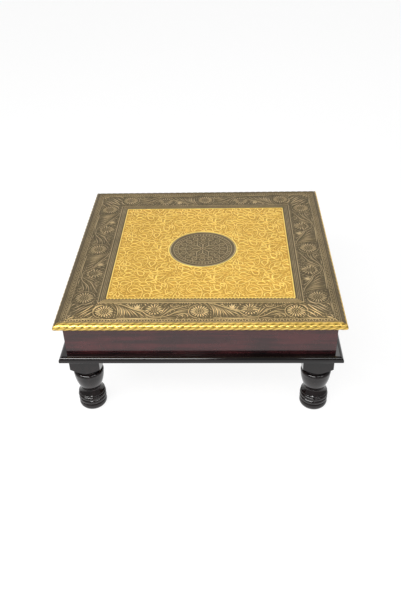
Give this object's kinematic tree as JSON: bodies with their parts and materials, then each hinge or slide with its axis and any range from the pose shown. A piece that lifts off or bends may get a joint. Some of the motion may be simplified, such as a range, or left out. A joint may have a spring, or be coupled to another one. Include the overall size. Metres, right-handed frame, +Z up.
{
  "type": "low table",
  "caption": "Square low table with a brass-clad top, embossed flower border, rope edge, lacquered apron and short turned legs.",
  "frame": {"origin": "on the floor, under the centre of the table", "axes": "+Z up, -Y towards the front as pictured, +X to the right seen from the front; the table is square, so X and Y are alike"},
  "size_m": [0.457, 0.457, 0.196],
  "materials": {
    "dark_lacquer": "glossy near-black brown lacquer on turned and moulded hardwood",
    "bare_wood": "plain sawn and planed wood, unfinished",
    "antique_brass": "embossed sheet, dark in the ground and rubbed bright on the raised work",
    "gold_brass": "bright embossed sheet with a satin sheen",
    "rope_brass": "polished strip with a rope pattern",
    "screw_steel": "plain steel screws"
  },
  "bodies": {
    "root": {"apron_back": "dark_lacquer", "apron_front": "dark_lacquer", "apron_left": "dark_lacquer", "apron_right": "dark_lacquer", "base_moulding_back": "dark_lacquer", "base_moulding_front": "dark_lacquer", "base_moulding_left": "dark_lacquer", "base_moulding_right": "dark_lacquer", "board_screws": "screw_steel", "border_back": "antique_brass", "border_front": "antique_brass", "border_left": "antique_brass", "border_right": "antique_brass", "centre_panel": "gold_brass", "cleat_back": "bare_wood", "cleat_front": "bare_wood", "cleat_left": "bare_wood", "cleat_right": "bare_wood", "corner_screws": "screw_steel", "edge_trim_back": "rope_brass", "edge_trim_front": "rope_brass", "edge_trim_left": "rope_brass", "edge_trim_right": "rope_brass", "leg_back_left": "dark_lacquer", "leg_back_right": "dark_lacquer", "leg_front_left": "dark_lacquer", "leg_front_right": "dark_lacquer", "medallion": "antique_brass", "rail_screws": "screw_steel", "top_board": "bare_wood"}
  },
  "joints": []
}
